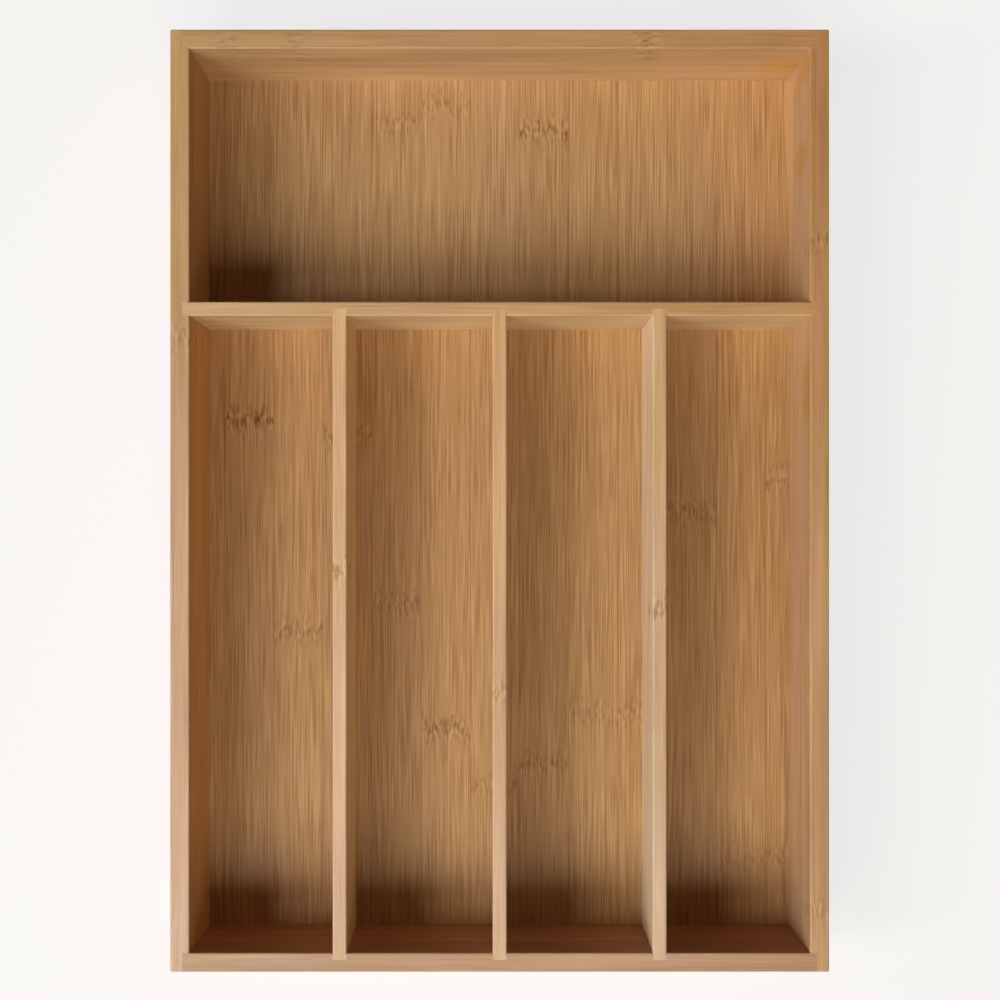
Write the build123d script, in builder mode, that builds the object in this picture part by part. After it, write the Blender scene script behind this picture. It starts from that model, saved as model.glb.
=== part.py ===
from build123d import *
import os

# A cutlery tray made of bamboo boards. One wide compartment lies across the back, and four long
# ones run from it to the front. All lengths are in millimetres. X runs across the tray, Y runs
# to the back and Z runs up. The origin is the middle of the footprint, on the surface that the
# tray stands on.

# Overall size
tray_width = 250.0
tray_length = 357.5
tray_height = 50.0

# Boards. The floor is held clear of the table, and the tray stands on the edges of its walls.
wall_thickness = 7.3
divider_thickness = 5.3
floor_thickness = 4.0
floor_lift = 3.0

# Compartments. The long dividers stand evenly about the middle of the tray.
back_compartment_length = 96.0
long_divider_sides = ["left", "middle", "right"]
long_divider_pitch = 60.7

# Joints. The ends of the boards sit in rabbets and housings, and the floor sits in a groove that
# is as deep. The joints are glued, so their fit is tight. The floor has room in its groove,
# because bamboo swells across its grain.
housing_depth = 2.7
fit_clearance = 0.01
floor_clearance = 0.3

# Floor strips. The floor is glued up from strips, and its two edge strips take what is left.
strip_width = 20.0
seam_from_middle = 8.3
narrowest_strip = 4.0

# Eased edges
rim_round = 0.6
foot_round = 0.5
tongue_round = 0.1

# Inside faces of the walls, and the bottoms of the rabbets and housings cut into them
half_width = tray_width / 2
half_length = tray_length / 2
inside_half_width = half_width - wall_thickness
inside_half_length = half_length - wall_thickness
housed_half_width = inside_half_width + housing_depth
housed_half_length = inside_half_length + housing_depth

# How far the back wall, the front wall and the cross divider reach into the side walls
cross_board_end = housed_half_width - fit_clearance

# Where the rims of the walls are flat again past their rounded inner edges. The tongues of the
# dividers, which are square on top, begin here.
flat_rim_half_width = inside_half_width + rim_round
flat_rim_front_y = -inside_half_length - rim_round

# Heights of the floor, of its groove and of the dividers that stand on it
floor_top = floor_lift + floor_thickness
groove_top = floor_top + fit_clearance

# The cross divider's two faces, and the width of a housing that takes a divider
cross_back_y = inside_half_length - back_compartment_length
cross_front_y = cross_back_y - divider_thickness
housing_width = divider_thickness + 2 * fit_clearance

# Where the long dividers stand, from left to right
middle_divider = (len(long_divider_sides) - 1) / 2
long_divider_places = [
    (index - middle_divider) * long_divider_pitch for index in range(len(long_divider_sides))
]

os.makedirs("parts", exist_ok=True)


def box_between(low, high, mode=Mode.ADD):
    """Put a box between two opposite corners into the board that is being made."""
    size = Vector(*high) - Vector(*low)
    with Locations(low):
        Box(size.X, size.Y, size.Z, align=(Align.MIN, Align.MIN, Align.MIN), mode=mode)


# Left wall. It runs the full length of the tray, so its ends show at the front and the back.
with BuildPart() as left_wall:
    box_between((-half_width, -half_length, 0), (-inside_half_width, half_length, tray_height))
    rim_edges = left_wall.faces().sort_by(Axis.Z)[-1].edges()
    foot_edges = left_wall.faces().sort_by(Axis.Z)[0].edges()
    outer_corners = left_wall.edges().filter_by(Axis.Z).group_by(Axis.X)[0]
    fillet(rim_edges + outer_corners, rim_round)
    fillet(foot_edges, foot_round)
    # Rabbets for the ends of the back and front walls
    box_between(
        (-housed_half_width, inside_half_length, 0),
        (-inside_half_width, half_length, tray_height),
        mode=Mode.SUBTRACT,
    )
    box_between(
        (-housed_half_width, -half_length, 0),
        (-inside_half_width, -inside_half_length, tray_height),
        mode=Mode.SUBTRACT,
    )
    # Housing for the end of the cross divider
    box_between(
        (-housed_half_width, cross_front_y - fit_clearance, floor_top),
        (-inside_half_width, cross_back_y + fit_clearance, tray_height),
        mode=Mode.SUBTRACT,
    )
    # Groove for the edge of the floor
    box_between(
        (-housed_half_width, -half_length, floor_lift),
        (-inside_half_width, half_length, groove_top),
        mode=Mode.SUBTRACT,
    )
left_wall.part.label = "left_wall"
export_step(left_wall.part, "parts/left_wall.step")

# Right wall. It is the left wall in a mirror.
with BuildPart() as right_wall:
    mirror(left_wall.part, about=Plane.YZ)
right_wall.part.label = "right_wall"
export_step(right_wall.part, "parts/right_wall.step")

# Back wall. Its ends sit in the rabbets of the side walls.
with BuildPart() as back_wall:
    box_between(
        (-cross_board_end, inside_half_length, 0),
        (cross_board_end, half_length, tray_height),
    )
    outer_rim_edge = back_wall.faces().sort_by(Axis.Z)[-1].edges().sort_by(Axis.Y)[-1]
    foot_edges = back_wall.faces().sort_by(Axis.Z)[0].edges().filter_by(Axis.X)
    fillet(outer_rim_edge, rim_round)
    fillet(foot_edges, foot_round)
    # The rim's inner edge is rounded between the side walls and no further
    with BuildSketch(Plane.YZ.offset(-inside_half_width)):
        with Locations((inside_half_length + rim_round / 2, tray_height - rim_round / 2)):
            Rectangle(rim_round, rim_round)
        with Locations((inside_half_length + rim_round, tray_height - rim_round)):
            Circle(rim_round, mode=Mode.SUBTRACT)
    extrude(amount=2 * inside_half_width, mode=Mode.SUBTRACT)
    # Groove for the back end of the floor
    box_between(
        (-cross_board_end, inside_half_length, floor_lift),
        (cross_board_end, housed_half_length, groove_top),
        mode=Mode.SUBTRACT,
    )
back_wall.part.label = "back_wall"
export_step(back_wall.part, "parts/back_wall.step")

# Front wall. It is the back wall in a mirror, with housings for the long dividers' front ends.
with BuildPart() as front_wall:
    mirror(back_wall.part, about=Plane.XZ)
    for place in long_divider_places:
        box_between(
            (place - housing_width / 2, -housed_half_length, floor_top),
            (place + housing_width / 2, -inside_half_length, tray_height),
            mode=Mode.SUBTRACT,
        )
front_wall.part.label = "front_wall"
export_step(front_wall.part, "parts/front_wall.step")

# Cross divider. It stands on the floor in front of the back compartment.
with BuildPart() as cross_divider:
    box_between(
        (-flat_rim_half_width, cross_front_y, floor_top),
        (flat_rim_half_width, cross_back_y, tray_height),
    )
    fillet(cross_divider.faces().sort_by(Axis.Z)[-1].edges().filter_by(Axis.X), rim_round)
    # Tongues that fill the housings in the side walls
    box_between(
        (-cross_board_end, cross_front_y, floor_top),
        (-flat_rim_half_width, cross_back_y, tray_height),
    )
    box_between(
        (flat_rim_half_width, cross_front_y, floor_top),
        (cross_board_end, cross_back_y, tray_height),
    )
    upright_edges = cross_divider.edges().filter_by(Axis.Z).group_by(Axis.X)
    fillet(upright_edges[0] + upright_edges[-1], tongue_round)
    # Housings for the back ends of the long dividers
    for place in long_divider_places:
        box_between(
            (place - housing_width / 2, cross_front_y, floor_top),
            (place + housing_width / 2, cross_front_y + housing_depth, tray_height),
            mode=Mode.SUBTRACT,
        )
cross_divider.part.label = "cross_divider"
export_step(cross_divider.part, "parts/cross_divider.step")

# Long dividers. Each runs from the cross divider to the front wall, housed at both ends.
front_tongue_end = -housed_half_length + fit_clearance
back_tongue_end = cross_front_y + housing_depth - fit_clearance
back_tongue_start = cross_front_y + rim_round
for side, place in zip(long_divider_sides, long_divider_places):
    left_x = place - divider_thickness / 2
    right_x = place + divider_thickness / 2
    with BuildPart() as long_divider:
        box_between(
            (left_x, flat_rim_front_y, floor_top),
            (right_x, back_tongue_start, tray_height),
        )
        fillet(long_divider.faces().sort_by(Axis.Z)[-1].edges().filter_by(Axis.Y), rim_round)
        # Tongues that fill the housings at its two ends
        box_between(
            (left_x, front_tongue_end, floor_top),
            (right_x, flat_rim_front_y, tray_height),
        )
        box_between(
            (left_x, back_tongue_start, floor_top),
            (right_x, back_tongue_end, tray_height),
        )
        upright_edges = long_divider.edges().filter_by(Axis.Z).group_by(Axis.Y)
        fillet(upright_edges[0] + upright_edges[-1], tongue_round)
    long_divider.part.label = f"long_divider_{side}"
    export_step(long_divider.part, f"parts/long_divider_{side}.step")

# Floor strips. They lie side by side along the tray, glued edge to edge into one panel, whose
# edges stand in the grooves of the four walls. A seam too near the panel's edge is left out.
panel_half_width = housed_half_width - floor_clearance
panel_half_length = housed_half_length - floor_clearance
seam_limit = panel_half_width - narrowest_strip
steps_each_way = int(tray_width / strip_width)
seams = [seam_from_middle + step * strip_width for step in range(-steps_each_way, steps_each_way)]
inner_seams = [seam for seam in seams if abs(seam) < seam_limit]
strip_edges = [-panel_half_width] + inner_seams + [panel_half_width]
for number, (left_x, right_x) in enumerate(zip(strip_edges, strip_edges[1:]), start=1):
    with BuildPart() as floor_strip:
        box_between(
            (left_x, -panel_half_length, floor_lift),
            (right_x, panel_half_length, floor_top),
        )
    floor_strip.part.label = f"floor_strip_{number:02d}"
    export_step(floor_strip.part, f"parts/floor_strip_{number:02d}.step")
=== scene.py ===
import math
from collections import namedtuple
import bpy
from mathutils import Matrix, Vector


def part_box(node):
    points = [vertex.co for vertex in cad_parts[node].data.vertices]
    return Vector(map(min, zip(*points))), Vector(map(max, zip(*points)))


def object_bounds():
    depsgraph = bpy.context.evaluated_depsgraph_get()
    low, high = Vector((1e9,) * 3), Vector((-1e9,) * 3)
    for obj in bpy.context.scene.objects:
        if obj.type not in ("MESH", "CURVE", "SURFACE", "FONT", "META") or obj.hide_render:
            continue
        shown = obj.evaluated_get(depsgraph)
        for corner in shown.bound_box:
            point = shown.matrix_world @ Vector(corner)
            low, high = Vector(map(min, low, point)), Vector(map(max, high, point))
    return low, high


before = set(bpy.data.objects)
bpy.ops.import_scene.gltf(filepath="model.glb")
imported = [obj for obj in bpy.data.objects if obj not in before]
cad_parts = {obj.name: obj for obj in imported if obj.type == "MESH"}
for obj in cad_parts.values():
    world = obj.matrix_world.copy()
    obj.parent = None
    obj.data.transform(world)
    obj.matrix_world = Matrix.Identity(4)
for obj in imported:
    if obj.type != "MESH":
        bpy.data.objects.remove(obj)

from types import SimpleNamespace

import bpy
from bpy.props import FloatProperty, FloatVectorProperty, PointerProperty
from mathutils import Vector

bl_info = {
    "name": "Bamboo Cutlery Tray",
    "version": (1, 0, 0),
    "blender": (4, 5, 0),
    "location": "3D View > Sidebar > Cutlery Tray",
    "description": "Gives the boards of a cutlery tray their bamboo finish and sets up a studio",
    "category": "Object",
}

MM = 0.001
QUARTER_TURN = math.radians(90)
WHITE = (1, 1, 1, 1)

# The imported model's own box. Its top is the height of the rim.
cad_low, cad_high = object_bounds()
rim_height = cad_high.z

# Boards whose grain runs across the tray. The grain of all others runs to the back.
cross_grained = ["back_wall", "front_wall", "cross_divider"]
long_dividers = ["long_divider_left", "long_divider_middle", "long_divider_right"]
floor_strips = sorted(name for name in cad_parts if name.startswith("floor_strip"))

# A kind of streak in the grain: width and length in millimetres, a shift that keeps its noise
# apart from that of the other kinds, and the detail of the noise
Streak = namedtuple("Streak", "width length shift detail")

# Streaks in every board. A single hair is drawn coarser than it is, so that it shows.
BROAD_STREAK = Streak(6.0, 90.0, 7, 2.0)
FIBRE_BUNDLE = Streak(2.0, 40.0, 8, 2.0)
HAIR = Streak(0.38, 28.0, 13, 1.0)
HAIR_PATCH = Streak(8.0, 24.0, 17, 3.0)
HUE_PATCH = Streak(12.0, 40.0, 29, 2.0)
DRIFT = Streak(12.0, 90.0, 3, 2.0)

# Streaks at a knuckle, and the ragged edge of a lacquer spot
RIPPLE = Streak(3.6, 60.0, 1, 1.0)
SPLAY = Streak(2.0, 6.0, 5, 2.0)
DASH = Streak(0.9, 4.0, 19, 1.0)
BREAK = Streak(2.5, 3.0, 23, 1.0)
BLOTCH = Streak(5.0, 4.0, 31, 2.0)
SPOT_EDGE = Streak(4.0, 4.0, 37, 2.0)

# The middle of a noise, the two values that most of it lies between, and how far the noise of each
# board is from the next board's
NOISE_MIDDLE = 0.5
NOISE_RANGE = (0.35, 0.65)
SEED_STEP = 23.0

# How far the grain drifts sideways, how far it splays beside a knuckle and how far a knuckle's
# line ripples along the grain, in millimetres
DRIFT_REACH = 0.5
SPLAY_REACH = 0.8
RIPPLE_REACH = 10.0

# How far apart in the bamboo the layers of one board are, the width of a glue line and the depth
# of the fibres' relief, in millimetres
LAYER_SHIFT = 37.0
GLUE_LINE = 0.4
FIBRE_RELIEF = 0.1

# How dark the fibres are on average, from 0 to 1, and how much darker or paler the broad streaks,
# the fibre bundles and the hairs make them, in the floor and in the boards that stand
MEAN_DARKNESS = 0.5
FLOOR_STREAKS = (0.45, 0.25, 2.8)
BOARD_STREAKS = (1.3, 0.4, 0.8)

# How plain the hairs are, from their faintest patch to their plainest
HAIR_CONTRAST = (0.15, 1.9)

# Marks at a knuckle: how much the dashes darken the fibres, and how much of the knuckle's colour
# the dashes, the dim patches and the broken ridge take
DASH_STRENGTH = 3.5
DASH_SHARE = 2.6
DIM_SHARE = 0.65
RIDGE_SHARE = 0.25

# Where the ridge begins and is whole, by the nearness of the knuckle, and where the dim patches
# and the unbroken lengths of the ridge do, by their noise
RIDGE_EDGE = (0.8, 0.9)
BLOTCH_EDGE = (0.35, 0.6)
BREAK_EDGE = (0.45, 0.6)

# How much of the knuckle's colour a glue line takes, and how much of its own colour end grain does
SEAM_SHARE = 0.4
END_GRAIN_SHARE = 0.6

# Where a face begins to count as a side, an outside, an underside or end grain, and where it
# wholly does, by the way that it faces
SIDE_EDGE = (0.9, 0.3)
OUTSIDE_EDGE = (0.3, 0.9)
UNDERSIDE_EDGE = (-0.3, -0.9)
END_GRAIN_EDGE = (0.6, 0.8)

# The darkest and the palest layer of a board
LAYER_TONES = (0.95, 1.05)

# The lacquer: how much duller than average it is on the darkest fibres, and glossier on the palest
# tissue, how much of the fibres' relief shows through it, and its index of refraction
ROUGHNESS_SPREAD = 0.05
BUMP_SHARE = 0.05
LACQUER_IOR = 1.5

# Each strip's own tone: how much more red, green and blue it has than the average strip
STRIP_TONES = {
    "floor_strip_01": (1.0, 1.0, 1.0),
    "floor_strip_02": (0.99, 0.99, 1.0),
    "floor_strip_03": (0.99, 0.99, 1.0),
    "floor_strip_04": (0.95, 0.95, 0.95),
    "floor_strip_05": (0.99, 0.99, 1.0),
    "floor_strip_06": (1.02, 1.02, 1.02),
    "floor_strip_07": (1.03, 1.04, 1.08),
    "floor_strip_08": (0.97, 0.96, 0.95),
    "floor_strip_09": (1.0, 0.99, 0.98),
    "floor_strip_10": (1.03, 1.03, 1.03),
    "floor_strip_11": (1.0, 1.0, 1.0),
    "floor_strip_12": (1.02, 0.99, 0.94),
    "floor_strip_13": (1.03, 1.0, 0.96),
}

# The same for the top edge of each board that stands, at its front or left end and at its other
# end. They are partly the wood's own paler top edge and partly painted sheen and light: the top
# edges are painted paler and whiter towards the front and the left, where the softboxes' light
# and sheen fall strongest.
EDGE_TONES_AND_SHEEN = {
    "left_wall": ((1.33, 1.48, 2.18), (1.21, 1.24, 1.17)),
    "right_wall": ((1.21, 1.18, 1.35), (1.04, 0.91, 0.68)),
    "back_wall": ((1.18, 1.21, 1.28), (1.17, 1.05, 0.95)),
    "front_wall": ((1.07, 1.12, 1.54), (1.04, 0.98, 1.25)),
    "cross_divider": ((1.39, 1.52, 1.79), (1.28, 1.2, 1.11)),
    "long_divider_left": ((1.47, 1.66, 2.53), (1.66, 1.82, 2.19)),
    "long_divider_middle": ((1.27, 1.44, 2.07), (1.46, 1.47, 1.58)),
    "long_divider_right": ((1.33, 1.55, 2.31), (1.33, 1.41, 1.54)),
}

# The same for the faces of these boards that look into the compartments. They paint light and
# shade: a face is painted paler where it faces the softboxes and darker where it lies in shade,
# most of all inside the front wall. The last line gives the colour of their outside and
# underside, which is not painted light.
PAINTED_INSIDE_LIGHT = {
    "left_wall": (1.25, 1.15, 0.99),
    "right_wall": (1.26, 1.35, 1.68),
    "back_wall": (1.36, 1.45, 1.66),
    "front_wall": (0.81, 0.59, 0.62),
    "cross_divider": (1.42, 1.73, 2.24),
    "long_divider_left": (1.6, 1.82, 2.15),
    "long_divider_middle": (1.64, 2.05, 2.83),
    "long_divider_right": (1.66, 2.25, 3.51),
}
OUTSIDE_TONE = (1.18, 1.2, 1.35)

# Which way the outside of each wall faces: 1 to the right or the back, -1 to the left or the front
OUTWARD = {"left_wall": -1.0, "right_wall": 1.0, "back_wall": 1.0, "front_wall": -1.0}

# Where the knuckles of the bamboo cross a board: millimetres along its grain from the middle of
# the tray, and how plain each is. In a board that stands they cross only its top layer.
KNUCKLES = {
    "left_wall": [(62, 0.5)],
    "right_wall": [(98.7, 0.5), (-156.9, 0.5)],
    "back_wall": [(-103, 0.35), (-76, 0.35), (56.8, 0.75)],
    "long_divider_left": [(-26, 0.8)],
    "long_divider_middle": [(-73, 0.6)],
    "long_divider_right": [(-40.8, 0.8)],
    "floor_strip_02": [(34, 1.0)],
    "floor_strip_03": [(-52, 0.65)],
    "floor_strip_04": [(28, 0.6)],
    "floor_strip_05": [(-41, 0.65), (155, 0.5)],
    "floor_strip_06": [(-92, 0.85), (161, 0.5)],
    "floor_strip_07": [(-114.5, 0.5)],
    "floor_strip_08": [(-106, 0.6), (151, 0.9)],
    "floor_strip_09": [(-85, 0.5)],
    "floor_strip_10": [(-85, 0.65)],
    "floor_strip_11": [(-4, 0.65)],
    "floor_strip_12": [(-146, 0.45)],
    "floor_strip_13": [(10, 0.7), (-143, 0.5)],
}

# Amber spots where the lacquer ran down the inside of a wall and dried thick: place along the
# grain, height above the table, half width and half height in millimetres, and how strong each is
LACQUER_SPOTS = {
    "right_wall": [
        (167, 40, 5, 9, 1.0),
        (161.5, 24, 5, 8, 0.7),
        (133, 31, 6.5, 13, 1.0),
        (42, 44, 12, 10, 1.0),
        (-68, 44, 6, 7, 0.6),
    ],
    "back_wall": [(110, 27, 9, 10, 0.6)],
}

# How much of the face's red, green and blue a spot keeps, and the distances from its middle, in
# its own half sizes, at which it begins to fade and is gone
SPOT_TONE = (0.94, 0.86, 0.5)
SPOT_FADE = (0.75, 1.2)

# Softboxes. The bearing is counted from the right-hand side and the lean from straight up, both in
# degrees. Distance, width and height are in metres, and the power is in watts.
Softbox = namedtuple("Softbox", "name bearing lean distance width height power colour")
SOFTBOXES = [
    Softbox("left_softbox", 190, 46, 3.0, 0.75, 1.65, 44.4, "#FFF7F0"),
    Softbox("near_left_softbox", 236, 41, 2.0, 0.6, 0.9, 12.8, "#F4F1E8"),
    Softbox("near_right_softbox", 280, 38, 2.0, 0.8, 1.2, 14.0, "#FFF0DC"),
]

# The point that the softboxes are turned to, in metres
LAMP_TARGET = Vector((0, 0, 0.03))

# The studio floor: its size, and the distances from the tray's middle between which it turns
# white, in metres. Where it is seen it is mixed with the first share of white near the tray, and
# with the second further out.
FLOOR_SIZE = 6.0
FLOOR_FADE = (0.5, 2.0)
FLOOR_WHITE_SHARES = (0.75, 1.0)
FLOOR_ROUGHNESS = 0.9

# Where the dark ceiling begins and is whole, from 0 level to 1 straight up, and how much of the
# surroundings' white it keeps
CEILING_EDGE = (0.5, 0.75)
CEILING_SHARE = 0.08

# The camera's place to the right and to the back of the tray's middle, in metres, how far its
# frame is moved to the right and up, in shares of the frame's width, and the width of its sensor
# in millimetres
CAMERA_PLACE = (-0.0029, -0.0096)
CAMERA_SHIFT_SHARES = (0.008, 0.026)
SENSOR_WIDTH = 36.0


def linear(hex_colour):
    """Turn an sRGB hex colour into the linear values that the shaders take."""
    channels = [int(hex_colour[start:start + 2], 16) / 255 for start in (1, 3, 5)]
    return [c / 12.92 if c <= 0.04045 else ((c + 0.055) / 1.055) ** 2.4 for c in channels]


class BambooFinish(bpy.types.PropertyGroup):
    """Colours, fibres and lacquer of the bamboo"""

    pale_colour: FloatVectorProperty(
        name="Pale Colour",
        description="Colour of the soft tissue between the fibres",
        subtype="COLOR",
        default=linear("#CEA976"),
    )
    pink_colour: FloatVectorProperty(
        name="Pink Colour",
        description="Colour of the soft tissue where it is pinker",
        subtype="COLOR",
        default=linear("#CEA87B"),
    )
    dark_colour: FloatVectorProperty(
        name="Fibre Colour",
        description="Colour of the fibre bundles",
        subtype="COLOR",
        default=linear("#AA8253"),
    )
    dark_pink_colour: FloatVectorProperty(
        name="Pink Fibre Colour",
        description="Colour of the fibre bundles where the tissue is pinker",
        subtype="COLOR",
        default=linear("#AA8158"),
    )
    knuckle_colour: FloatVectorProperty(
        name="Knuckle Colour",
        description="Colour of the marks at a knuckle and of the glue lines",
        subtype="COLOR",
        default=linear("#825620"),
    )
    end_grain_colour: FloatVectorProperty(
        name="End Grain Colour",
        description="Colour where the fibres are cut across, which drinks more lacquer",
        subtype="COLOR",
        default=linear("#A97F50"),
    )
    streak_width: FloatProperty(
        name="Streak Width",
        description="Width of the broad streaks",
        default=BROAD_STREAK.width * MM,
        min=1 * MM,
        unit="LENGTH",
    )
    fibre_width: FloatProperty(
        name="Fibre Width",
        description="Width of a bundle of fibres",
        default=FIBRE_BUNDLE.width * MM,
        min=0.1 * MM,
        unit="LENGTH",
    )
    hair_width: FloatProperty(
        name="Hair Width",
        description="Width of a single dark fibre, drawn coarser than it is so that it shows",
        default=HAIR.width * MM,
        min=0.1 * MM,
        unit="LENGTH",
    )
    knuckle_reach: FloatProperty(
        name="Knuckle Reach",
        description="How far from a knuckle the fibres are bent and dark",
        default=8 * MM,
        min=1 * MM,
        unit="LENGTH",
    )
    layer_height: FloatProperty(
        name="Layer Height",
        description="Height of each strip that the walls and dividers are glued up from",
        default=16.7 * MM,
        min=5 * MM,
        unit="LENGTH",
    )
    roughness: FloatProperty(
        name="Roughness",
        description="How dull the lacquered surface is",
        default=0.47,
        min=0.0,
        max=1.0,
        subtype="FACTOR",
    )
    gloss: FloatProperty(
        name="Gloss",
        description="How much the lacquered walls and dividers mirror",
        default=0.5,
        min=0.0,
        max=1.0,
        subtype="FACTOR",
    )
    floor_gloss: FloatProperty(
        name="Floor Gloss",
        description="How much the floor mirrors, which has less lacquer",
        default=0.35,
        min=0.0,
        max=1.0,
        subtype="FACTOR",
    )


class StudioSettings(bpy.types.PropertyGroup):
    """Camera and the surface that the tray stands on"""

    camera_height: FloatProperty(
        name="Camera Height",
        description="Height of the camera above the tray's rim",
        default=0.594,
        min=0.1,
        unit="LENGTH",
    )
    lens: FloatProperty(
        name="Lens",
        description="Focal length of the camera",
        default=56.4,
        min=1.0,
        unit="CAMERA",
    )
    floor_colour: FloatVectorProperty(
        name="Floor",
        description="Colour of the surface that the tray stands on",
        subtype="COLOR",
        default=linear("#F1EFEC"),
    )


def add_node(tree, kind, inputs, **settings):
    """Add a node with its settings. An input takes a value, a socket or a node's first output."""
    node = tree.nodes.new(f"ShaderNode{kind}")
    for name, value in settings.items():
        setattr(node, name, value)
    usable = [socket for socket in node.inputs if socket.enabled]
    if isinstance(inputs, dict):
        pairs = [(next(s for s in usable if s.name == name), value) for name, value in inputs.items()]
    else:
        pairs = zip(usable, inputs)
    for socket, value in pairs:
        if isinstance(value, bpy.types.Node):
            value = next(output for output in value.outputs if output.enabled)
        if isinstance(value, bpy.types.NodeSocket):
            tree.links.new(value, socket)
        else:
            socket.default_value = value
    return node


def locate(tree, board):
    """The shaded point: its place on the board and in the grain, in millimetres, and its facing."""
    source = add_node(tree, "TexCoord", {})
    place = add_node(
        tree,
        "Mapping",
        {
            "Vector": source.outputs["Object"],
            "Location": (-board.middle / MM, 0, 0),
            "Rotation": (0, 0, QUARTER_TURN if board.runs_across else 0),
            "Scale": (1 / MM, 1 / MM, 1 / MM),
        },
    )
    point = SimpleNamespace(place=place, grain=place)
    point.across, point.along, point.up = add_node(tree, "SeparateXYZ", [place]).outputs
    facing = add_node(tree, "SeparateXYZ", [source.outputs["Normal"]]).outputs
    point.facing_across = facing["Y" if board.runs_across else "X"]
    point.facing_along = facing["X" if board.runs_across else "Y"]
    point.facing_up = facing["Z"]

    # Each layer of a glued-up board is another piece of bamboo. Layers are counted from the rim.
    if board.stands:
        layer_height = bpy.context.scene.bamboo_finish.layer_height / MM
        point.depth = add_node(tree, "Math", [rim_height / MM, point.up], operation="SUBTRACT")
        layers_down = add_node(tree, "Math", [point.depth, layer_height], operation="DIVIDE")
        point.layer = add_node(tree, "Math", [layers_down], operation="FLOOR")
        shift = add_node(tree, "Math", [point.layer, LAYER_SHIFT], operation="MULTIPLY")
        offset = add_node(tree, "CombineXYZ", [shift, shift, 0.0])
        point.grain = add_node(tree, "VectorMath", [place, offset], operation="ADD")
    return point


def streaks(tree, board, place, streak):
    """Noise drawn out along the grain into streaks of one kind."""
    shift = board.seed + streak.shift
    stretched = add_node(
        tree,
        "Mapping",
        {
            "Vector": place,
            "Location": (shift, shift, shift),
            "Scale": (1 / streak.width, 1 / streak.length, 1 / streak.width),
        },
    )
    return add_node(tree, "TexNoise", {"Vector": stretched, "Scale": 1.0, "Detail": streak.detail})


def knuckle_nearness(tree, board, point):
    """How near the closest knuckle is, from 1 on its rippled line to 0 out of its reach."""
    finish = bpy.context.scene.bamboo_finish
    reach = finish.knuckle_reach / MM
    ripple = streaks(tree, board, point.grain, RIPPLE)
    rippled = add_node(tree, "Math", [ripple, RIPPLE_REACH, point.along], operation="MULTIPLY_ADD")
    nearness = 0.0
    for knuckle_place, plainness in board.knuckles:
        middle_line = knuckle_place + RIPPLE_REACH * NOISE_MIDDLE
        gap = add_node(tree, "Math", [rippled, middle_line], operation="SUBTRACT")
        distance = add_node(tree, "Math", [gap], operation="ABSOLUTE")
        near = add_node(tree, "MapRange", [distance, 0.0, reach, plainness, 0.0])
        nearness = add_node(tree, "Math", [near, nearness], operation="MAXIMUM")
    if board.stands:
        layer_foot = (rim_height - finish.layer_height) / MM
        top_layer = add_node(tree, "Math", [point.up, layer_foot], operation="GREATER_THAN")
        nearness = add_node(tree, "Math", [nearness, top_layer], operation="MULTIPLY")
    return nearness


def bent_grain(tree, board, point, nearness):
    """The place in the grain, whose fibres run nearly straight and bend a little at a knuckle."""
    drift = streaks(tree, board, point.grain, DRIFT)
    sideways = add_node(tree, "Math", [drift, DRIFT_REACH], operation="MULTIPLY")
    if board.knuckles:
        splay = streaks(tree, board, point.grain, SPLAY)
        bend = add_node(tree, "Math", [splay, nearness], operation="MULTIPLY")
        sideways = add_node(tree, "Math", [bend, SPLAY_REACH, sideways], operation="MULTIPLY_ADD")
    offset = add_node(tree, "CombineXYZ", [sideways, 0.0, 0.0])
    return add_node(tree, "VectorMath", [point.grain, offset], operation="ADD")


def gathered_dashes(tree, board, bent, nearness):
    """Short dashes, darker or paler than the rest, which gather at a knuckle."""
    dashes = streaks(tree, board, bent, DASH)
    balanced = add_node(tree, "Math", [dashes, NOISE_MIDDLE], operation="SUBTRACT")
    return add_node(tree, "Math", [balanced, nearness], operation="MULTIPLY")


def fibre_darkness(tree, board, point, bent, hairs, dashes):
    """How dark the bamboo is, from 0 in soft tissue to 1 in a dense bundle of fibres."""
    finish = bpy.context.scene.bamboo_finish
    strengths = BOARD_STREAKS if board.stands else FLOOR_STREAKS
    broad_strength, bundle_strength, hair_strength = strengths
    broad_streak = BROAD_STREAK._replace(width=finish.streak_width / MM)
    fibre_bundle = FIBRE_BUNDLE._replace(width=finish.fibre_width / MM)
    darkness = MEAN_DARKNESS
    for streak, strength in ((broad_streak, broad_strength), (fibre_bundle, bundle_strength)):
        noise = streaks(tree, board, bent, streak)
        balanced = add_node(tree, "Math", [noise, NOISE_MIDDLE], operation="SUBTRACT")
        darkness = add_node(tree, "Math", [balanced, strength, darkness], operation="MULTIPLY_ADD")

    # The hairs stand out in some patches and are hardly seen in others
    patch = streaks(tree, board, point.grain, HAIR_PATCH)
    contrast = add_node(tree, "MapRange", [patch, *NOISE_RANGE, *HAIR_CONTRAST])
    balanced = add_node(tree, "Math", [hairs, NOISE_MIDDLE], operation="SUBTRACT")
    patchy = add_node(tree, "Math", [balanced, contrast], operation="MULTIPLY")
    darkness = add_node(tree, "Math", [patchy, hair_strength, darkness], operation="MULTIPLY_ADD")
    if board.knuckles:
        darkness = add_node(
            tree, "Math", [dashes, DASH_STRENGTH, darkness], operation="MULTIPLY_ADD"
        )
    return add_node(tree, "Clamp", [darkness, 0.0, 1.0])


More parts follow.
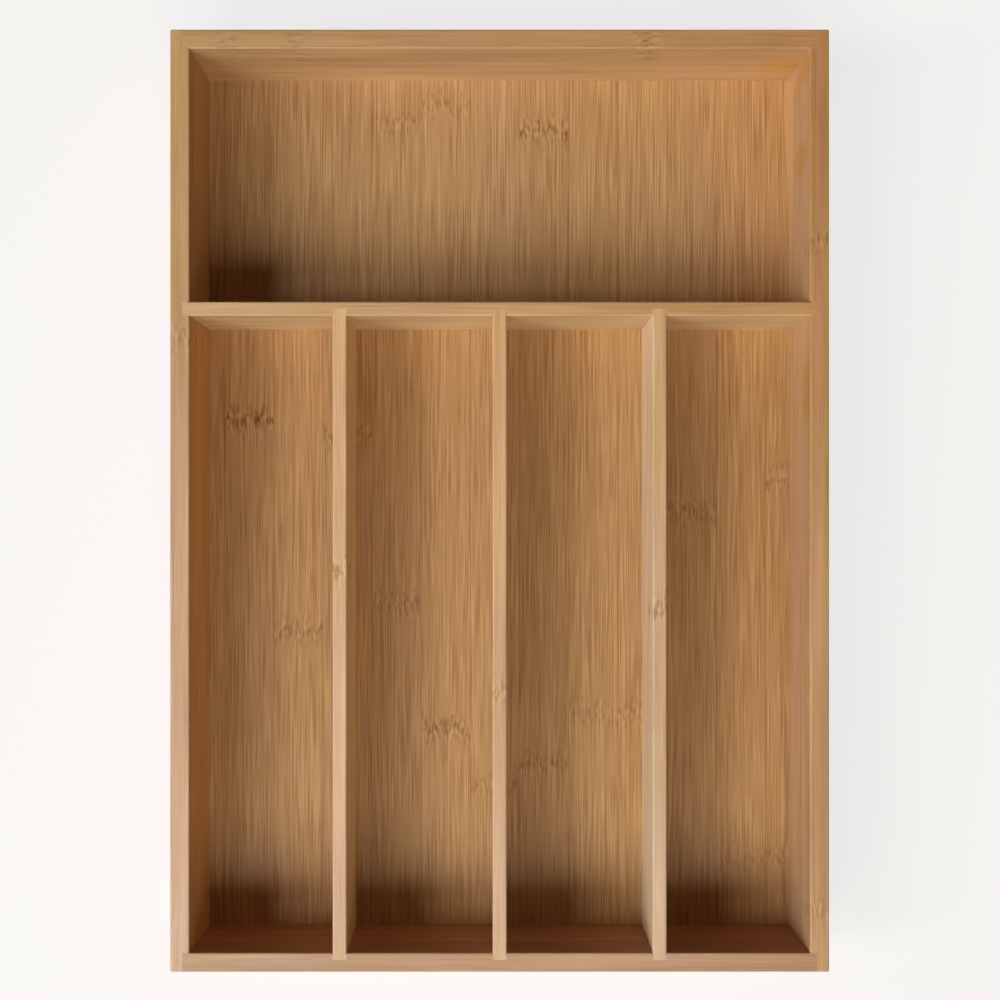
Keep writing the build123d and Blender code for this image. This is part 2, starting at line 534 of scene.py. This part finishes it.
def fibre_colour(tree, board, point, darkness):
    """Colour of tissue and fibres, which lean to yellow in some places and to pink in others."""
    finish = bpy.context.scene.bamboo_finish
    hue = streaks(tree, board, point.grain, HUE_PATCH)
    pink_share = add_node(tree, "MapRange", [hue, *NOISE_RANGE])
    tissue = add_node(
        tree,
        "Mix",
        [pink_share, (*finish.pale_colour, 1), (*finish.pink_colour, 1)],
        data_type="RGBA",
    )
    fibres = add_node(
        tree,
        "Mix",
        [pink_share, (*finish.dark_colour, 1), (*finish.dark_pink_colour, 1)],
        data_type="RGBA",
    )
    return add_node(tree, "Mix", [darkness, tissue, fibres], data_type="RGBA")


def knuckle_share(tree, board, point, nearness, dashes):
    """How much of the knuckle's colour shows, in dim patches, dashes and a broken ridge."""
    blotch_noise = streaks(tree, board, point.grain, BLOTCH)
    blotch = add_node(tree, "MapRange", [blotch_noise, *BLOTCH_EDGE])
    dimness = add_node(tree, "Math", [nearness, nearness], operation="MULTIPLY")
    dimness = add_node(tree, "Math", [dimness, blotch], operation="MULTIPLY")
    ridge = add_node(tree, "MapRange", [nearness, *RIDGE_EDGE])
    break_noise = streaks(tree, board, point.grain, BREAK)
    unbroken = add_node(tree, "MapRange", [break_noise, *BREAK_EDGE])
    broken_ridge = add_node(tree, "Math", [ridge, unbroken], operation="MULTIPLY")
    share = add_node(tree, "Math", [dimness, DIM_SHARE], operation="MULTIPLY")
    share = add_node(tree, "Math", [broken_ridge, RIDGE_SHARE, share], operation="MULTIPLY_ADD")
    share = add_node(tree, "Math", [dashes, DASH_SHARE, share], operation="MULTIPLY_ADD")
    return add_node(tree, "Clamp", [share, 0.0, 1.0])


def glue_share(tree, board, point):
    """How much glue line shows, between a board's layers or at the edges of a floor strip."""
    if not board.stands:
        from_middle = add_node(tree, "Math", [point.across], operation="ABSOLUTE")
        glue_start = board.half_width - GLUE_LINE
        return add_node(
            tree, "MapRange", [from_middle, glue_start, board.half_width, 0.0, SEAM_SHARE]
        )
    half_layer = bpy.context.scene.bamboo_finish.layer_height / MM / 2
    from_joint = add_node(tree, "Math", [point.depth, half_layer], operation="PINGPONG")
    joint_share = add_node(tree, "MapRange", [from_joint, 0.0, GLUE_LINE, SEAM_SHARE, 0.0])
    below_rim = add_node(tree, "Math", [point.depth, half_layer], operation="GREATER_THAN")
    return add_node(tree, "Math", [joint_share, below_rim], operation="MULTIPLY")


def end_grain_share(tree, point):
    """How much end grain shows, where the fibres are cut across."""
    facing_end = add_node(tree, "Math", [point.facing_along], operation="ABSOLUTE")
    return add_node(tree, "MapRange", [facing_end, *END_GRAIN_EDGE, 0.0, END_GRAIN_SHARE])


def lacquer_spots(tree, board, point):
    """How amber the face is, from 0 to 1 in the middle of a strong spot."""
    noise = streaks(tree, board, point.place, SPOT_EDGE)
    ragged = add_node(tree, "Math", [noise, NOISE_MIDDLE], operation="SUBTRACT")
    on_face = add_node(tree, "CombineXYZ", [point.along, point.up, 0.0])
    spot_share = 0.0
    for spot_along, spot_up, half_width, half_height, strength in board.spots:
        middle = (spot_along, spot_up, 0.0)
        half_size = (half_width, half_height, 1.0)
        offset = add_node(tree, "VectorMath", [on_face, middle], operation="SUBTRACT")
        in_half_sizes = add_node(tree, "VectorMath", [offset, half_size], operation="DIVIDE")
        distance = add_node(tree, "VectorMath", [in_half_sizes], operation="LENGTH")
        distance = add_node(tree, "Math", [distance, ragged], operation="ADD")
        spot = add_node(tree, "MapRange", [distance, *SPOT_FADE, strength, 0.0])
        spot_share = add_node(tree, "Math", [spot, spot_share], operation="MAXIMUM")
    return spot_share


def tone_and_painted_light(tree, board, point):
    """The board's own tone; on a board that stands, painted sheen on its top, painted light and shade
    on its faces in the compartments, and the colour of its outside.
    """
    start_tone_and_sheen, end_tone_and_sheen, inside_light_tone = board.tones
    # On a board that stands, painted sheen and light on the top edge, paler and whiter towards the
    # front or left end
    sheen_along_share = add_node(tree, "MapRange", [point.along, *board.ends])
    tone_with_painted_light = add_node(
        tree, "Mix", [sheen_along_share, (*start_tone_and_sheen, 1), (*end_tone_and_sheen, 1)], data_type="RGBA"
    )
    if not board.stands:
        return tone_with_painted_light
    # Painted light and shade on the faces in the compartments, with amber lacquer spots on them
    spot_share = lacquer_spots(tree, board, point) if board.spots else 0.0
    spotted_inside_light = [tone * spot for tone, spot in zip(inside_light_tone, SPOT_TONE)]
    inside = add_node(
        tree, "Mix", [spot_share, (*inside_light_tone, 1), (*spotted_inside_light, 1)], data_type="RGBA"
    )
    inside_light_share = add_node(tree, "MapRange", [point.facing_up, *SIDE_EDGE])
    tone_with_painted_light = add_node(tree, "Mix", [inside_light_share, tone_with_painted_light, inside], data_type="RGBA")
    outward = add_node(tree, "Math", [point.facing_across, board.outward], operation="MULTIPLY")
    outside_share = add_node(tree, "MapRange", [outward, *OUTSIDE_EDGE])
    underside_share = add_node(tree, "MapRange", [point.facing_up, *UNDERSIDE_EDGE])
    outside_share = add_node(tree, "Math", [outside_share, underside_share], operation="MAXIMUM")
    return add_node(tree, "Mix", [outside_share, tone_with_painted_light, (*OUTSIDE_TONE, 1)], data_type="RGBA")


def layer_tone(tree, board, point):
    """The tone of a layer, which is a little paler or darker than the next."""
    seeded = add_node(tree, "Math", [point.layer, board.seed], operation="ADD")
    chance = add_node(tree, "TexWhiteNoise", {"W": seeded}, noise_dimensions="1D")
    return add_node(tree, "MapRange", [chance, 0.0, 1.0, *LAYER_TONES])


def satin_lacquer(tree, board, colour, darkness, hairs):
    """Clear satin lacquer over the bamboo, duller where it sinks in along the darker fibres."""
    finish = bpy.context.scene.bamboo_finish
    glossiest = finish.roughness - ROUGHNESS_SPREAD
    dullest = finish.roughness + ROUGHNESS_SPREAD
    roughness = add_node(tree, "MapRange", [darkness, 0.0, 1.0, glossiest, dullest])
    bump = add_node(
        tree, "Bump", {"Strength": BUMP_SHARE, "Distance": FIBRE_RELIEF * MM, "Height": hairs}
    )
    return add_node(
        tree,
        "BsdfPrincipled",
        {
            "Base Color": colour,
            "Roughness": roughness,
            "Normal": bump,
            "IOR": LACQUER_IOR,
            "Specular IOR Level": finish.gloss if board.stands else finish.floor_gloss,
        },
    )


def bamboo(board):
    """Bamboo, glued up and lacquered: fine straight fibres, crossed by knuckles."""
    finish = bpy.context.scene.bamboo_finish
    material = bpy.data.materials.new(f"bamboo, satin lacquer, {board.name.replace('_', ' ')}")
    material.use_nodes = True
    tree = material.node_tree
    tree.nodes.clear()

    # Fibres and the soft tissue between them
    point = locate(tree, board)
    nearness = knuckle_nearness(tree, board, point) if board.knuckles else 0.0
    bent = bent_grain(tree, board, point, nearness)
    hairs = streaks(tree, board, bent, HAIR._replace(width=finish.hair_width / MM))
    dashes = gathered_dashes(tree, board, bent, nearness) if board.knuckles else 0.0
    darkness = fibre_darkness(tree, board, point, bent, hairs, dashes)
    colour = fibre_colour(tree, board, point, darkness)

    # Knuckles, then glue lines and end grain over them
    marks = []
    if board.knuckles:
        mark_share = knuckle_share(tree, board, point, nearness, dashes)
        marks.append((mark_share, finish.knuckle_colour))
    marks.append((glue_share(tree, board, point), finish.knuckle_colour))
    marks.append((end_grain_share(tree, point), finish.end_grain_colour))
    for share, mark_colour in marks:
        colour = add_node(tree, "Mix", [share, colour, (*mark_colour, 1)], data_type="RGBA")

    # The tone of this board, with painted sheen on the top and painted light and shade on the faces
    # in the compartments of a board that stands, and the tone of each layer in it
    tones = [tone_and_painted_light(tree, board, point)]
    if board.stands:
        tones.append(layer_tone(tree, board, point))
    for tone in tones:
        colour = add_node(tree, "Mix", [1.0, colour, tone], data_type="RGBA", blend_type="MULTIPLY")

    lacquer = satin_lacquer(tree, board, colour, darkness, hairs)
    add_node(tree, "OutputMaterial", [lacquer])
    return material


def finish_board(name, stands):
    """Give one board, which stands or lies in the floor, a bamboo of its own."""
    low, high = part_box(name)
    runs_across = name in cross_grained
    ends = (low.x, high.x) if runs_across else (low.y, high.y)
    board = SimpleNamespace(
        name=name,
        stands=stands,
        runs_across=runs_across,
        # The quarter turn takes the back of the tray to the left
        middle=-(low.y + high.y) / 2 if runs_across else (low.x + high.x) / 2,
        half_width=(high.x - low.x) / 2 / MM,
        ends=[end / MM for end in ends],
        outward=OUTWARD.get(name, 0.0),
        # On a board that stands, the top edge's colour carries painted sheen, and the inside colour
        # painted light and shade
        tones=(*EDGE_TONES_AND_SHEEN[name], PAINTED_INSIDE_LIGHT[name]) if stands else (STRIP_TONES[name],) * 3,
        knuckles=KNUCKLES.get(name, []),
        spots=LACQUER_SPOTS.get(name, []),
        seed=SEED_STEP * (1 + sorted(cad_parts).index(name)),
    )
    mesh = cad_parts[name].data
    mesh.materials.clear()
    mesh.materials.append(bamboo(board))


def matte_board():
    """Matte white board. It keeps the tray's shadow, and is lightened where it is seen."""
    studio = bpy.context.scene.studio_settings
    material = bpy.data.materials.new("matte white board")
    material.use_nodes = True
    tree = material.node_tree
    tree.nodes.clear()
    ray = add_node(tree, "LightPath", {}).outputs
    seen = add_node(tree, "Math", [ray["Is Camera Ray"], ray["Is Glossy Ray"]], operation="MAXIMUM")
    seen = add_node(tree, "Math", [seen, ray["Is Transmission Ray"]], operation="MAXIMUM")
    place = add_node(tree, "TexCoord", {}).outputs["Object"]
    distance = add_node(tree, "VectorMath", [place], operation="LENGTH")
    white_share = add_node(
        tree,
        "MapRange",
        [distance, *FLOOR_FADE, *FLOOR_WHITE_SHARES],
        interpolation_type="SMOOTHSTEP",
    )
    white_share = add_node(tree, "Math", [seen, white_share], operation="MULTIPLY")
    paint = add_node(
        tree,
        "BsdfPrincipled",
        {"Base Color": (*studio.floor_colour, 1), "Roughness": FLOOR_ROUGHNESS},
    )
    white = add_node(tree, "Emission", {"Color": WHITE, "Strength": 1.0})
    mixed = add_node(tree, "MixShader", [white_share, paint, white])
    add_node(tree, "OutputMaterial", [mixed])
    return material


def lay_studio_floor():
    """Lay the pale surface that the tray stands on."""
    bpy.ops.object.select_all(action="DESELECT")
    bpy.ops.mesh.primitive_plane_add(size=FLOOR_SIZE, location=(0, 0, 0))
    ground = bpy.context.object
    ground.name = "studio_floor"
    ground.data.materials.append(matte_board())


def surround_with_white():
    """Set up white surroundings that the camera and reflections see and that give no light."""
    world = bpy.data.worlds.new("studio_white")
    world.use_nodes = True
    tree = world.node_tree
    tree.nodes.clear()
    ray = add_node(tree, "LightPath", {}).outputs
    mirrored = add_node(
        tree, "Math", [ray["Is Glossy Ray"], ray["Is Transmission Ray"]], operation="MAXIMUM"
    )

    # The ceiling is dark, so that the lacquer doesn't mirror it
    direction = add_node(tree, "TexCoord", {}).outputs["Generated"]
    upward = add_node(tree, "SeparateXYZ", [direction]).outputs["Z"]
    white_share = add_node(tree, "MapRange", [upward, *CEILING_EDGE, 1.0, CEILING_SHARE])
    mirrored = add_node(tree, "Math", [mirrored, white_share], operation="MULTIPLY")
    strength = add_node(tree, "Math", [ray["Is Camera Ray"], mirrored], operation="MAXIMUM")
    background = add_node(tree, "Background", {"Color": WHITE, "Strength": strength})
    add_node(tree, "OutputWorld", [background])
    bpy.context.scene.world = world


def hang_softbox(softbox):
    """Hang a softbox at its bearing and lean, turned to the tray."""
    turn, tilt = math.radians(softbox.bearing), math.radians(softbox.lean)
    outward = math.sin(tilt)
    direction = Vector((outward * math.cos(turn), outward * math.sin(turn), math.cos(tilt)))
    bpy.ops.object.light_add(type="AREA", location=LAMP_TARGET + direction * softbox.distance)
    lamp = bpy.context.object
    lamp.name = softbox.name
    lamp.rotation_mode = "QUATERNION"
    lamp.rotation_quaternion = direction.to_track_quat("Z", "Y")
    lamp.data.shape = "RECTANGLE"
    lamp.data.size = softbox.width
    lamp.data.size_y = softbox.height
    lamp.data.energy = softbox.power
    lamp.data.color = linear(softbox.colour)


def set_up_camera():
    """Set up the camera straight above, a little to the left and front of the tray's middle."""
    scene = bpy.context.scene
    studio = scene.studio_settings
    bpy.ops.object.camera_add(
        location=(*CAMERA_PLACE, rim_height + studio.camera_height), rotation=(0, 0, 0)
    )
    camera = bpy.context.object
    camera.name = "camera_above"
    camera.data.sensor_width = SENSOR_WIDTH
    camera.data.lens = studio.lens
    camera.data.shift_x, camera.data.shift_y = CAMERA_SHIFT_SHARES
    scene.camera = camera
    scene.view_settings.view_transform = "Standard"


class TRAY_OT_side_walls(bpy.types.Operator):
    """Finish the two side walls"""

    bl_idname = "tray.side_walls"
    bl_label = "Side Walls"

    def execute(self, context):
        for name in ("left_wall", "right_wall"):
            finish_board(name, stands=True)
        return {"FINISHED"}


class TRAY_OT_end_walls(bpy.types.Operator):
    """Finish the back wall and the front wall"""

    bl_idname = "tray.end_walls"
    bl_label = "End Walls"

    def execute(self, context):
        for name in ("back_wall", "front_wall"):
            finish_board(name, stands=True)
        return {"FINISHED"}


class TRAY_OT_dividers(bpy.types.Operator):
    """Finish the cross divider and the long dividers"""

    bl_idname = "tray.dividers"
    bl_label = "Dividers"

    def execute(self, context):
        for name in ("cross_divider", *long_dividers):
            finish_board(name, stands=True)
        return {"FINISHED"}


class TRAY_OT_floor(bpy.types.Operator):
    """Finish the floor strip by strip"""

    bl_idname = "tray.floor"
    bl_label = "Floor Strips"

    def execute(self, context):
        for name in floor_strips:
            finish_board(name, stands=False)
        return {"FINISHED"}


class TRAY_OT_studio(bpy.types.Operator):
    """Set up the floor, the white surroundings, the softboxes and the camera"""

    bl_idname = "tray.studio"
    bl_label = "Studio"

    def execute(self, context):
        lay_studio_floor()
        surround_with_white()
        for softbox in SOFTBOXES:
            hang_softbox(softbox)
        set_up_camera()
        return {"FINISHED"}


class VIEW3D_PT_cutlery_tray(bpy.types.Panel):
    """Steps that finish the tray, in their order"""

    bl_label = "Cutlery Tray"
    bl_idname = "VIEW3D_PT_cutlery_tray"
    bl_space_type = "VIEW_3D"
    bl_region_type = "UI"
    bl_category = "Cutlery Tray"

    def draw(self, context):
        for operator in operators:
            self.layout.operator(operator.bl_idname)


operators = [TRAY_OT_side_walls, TRAY_OT_end_walls, TRAY_OT_dividers, TRAY_OT_floor, TRAY_OT_studio]
classes = [BambooFinish, StudioSettings, *operators, VIEW3D_PT_cutlery_tray]


def register():
    for added in classes:
        bpy.utils.register_class(added)
    bpy.types.Scene.bamboo_finish = PointerProperty(type=BambooFinish)
    bpy.types.Scene.studio_settings = PointerProperty(type=StudioSettings)


def unregister():
    del bpy.types.Scene.studio_settings
    del bpy.types.Scene.bamboo_finish
    for added in reversed(classes):
        bpy.utils.unregister_class(added)


def main():
    register()
    bpy.ops.tray.side_walls()
    bpy.ops.tray.end_walls()
    bpy.ops.tray.dividers()
    bpy.ops.tray.floor()
    bpy.ops.tray.studio()


if __name__ == "__main__":
    main()
